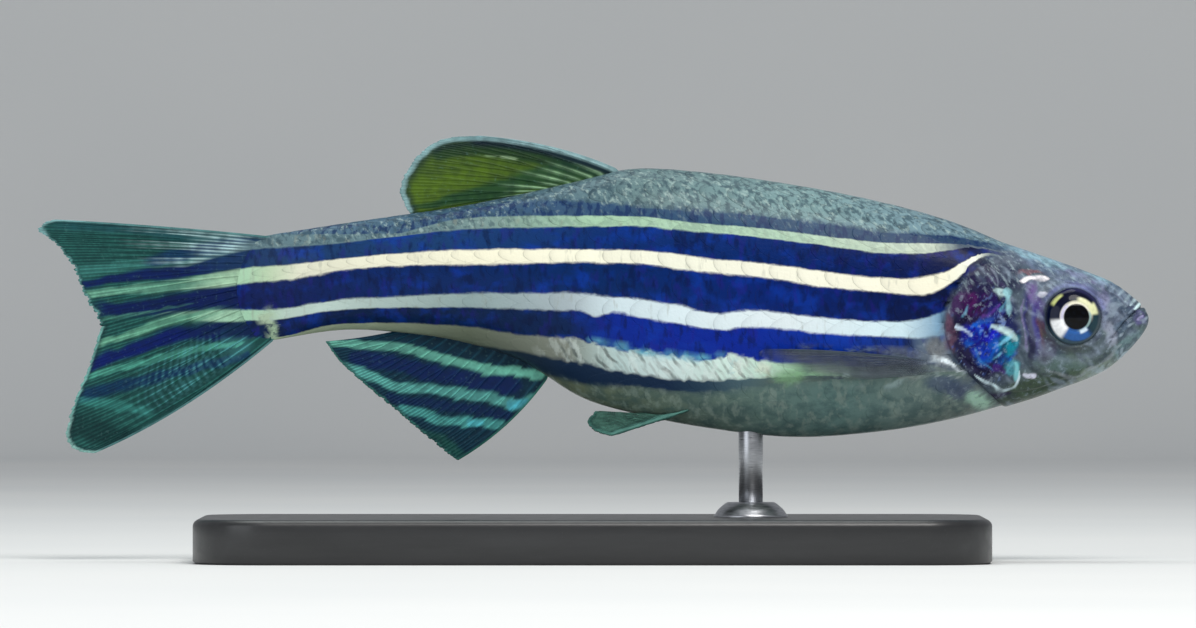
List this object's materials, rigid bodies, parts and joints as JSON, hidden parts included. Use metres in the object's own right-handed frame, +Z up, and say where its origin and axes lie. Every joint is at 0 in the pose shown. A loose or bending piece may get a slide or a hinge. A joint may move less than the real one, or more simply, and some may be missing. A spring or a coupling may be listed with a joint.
{
  "type": "zebra danio display model",
  "caption": "Still, life-size zebra danio: slim striped body, oblique mouth, rayed fins and forked tail, held level by a slim rod on a flat base.",
  "frame": {"origin": "underside of the stand's base, below the middle of the fish's length", "axes": "+X toward the snout, +Y toward the fish's left flank, +Z up"},
  "size_m": [0.045, 0.017, 0.0172],
  "materials": {
    "head_skin": "satin silvery grey skin with a violet cast, cast and painted",
    "gill_cover": "glossy iridescent blue and violet bony plate, painted",
    "eye": "polished glass eye, black pupil in a pale gold ring",
    "flank_scales": "satin scales in deep blue and cream length stripes, painted",
    "olive_fin": "thin olive membrane with pale rays",
    "striped_fin": "thin teal and navy membrane with pale rays and bands",
    "clear_fin": "thin grey translucent membrane",
    "stand_base": "satin black plinth",
    "stand_rod": "fine brushed steel rod"
  },
  "bodies": {
    "root": {"head": "head_skin", "lower_jaw": "head_skin", "gill_cover_right": "gill_cover", "gill_cover_left": "gill_cover", "eye_right": "eye", "eye_left": "eye", "trunk": "flank_scales", "tail": "flank_scales", "dorsal_fin": "olive_fin", "anal_fin": "striped_fin", "caudal_fin_upper": "striped_fin", "caudal_fin_lower": "striped_fin", "pectoral_fin_right": "clear_fin", "pectoral_fin_left": "clear_fin", "pelvic_fin_right": "striped_fin", "pelvic_fin_left": "striped_fin", "stand_base": "stand_base", "stand_rod": "stand_rod"}
  },
  "joints": []
}
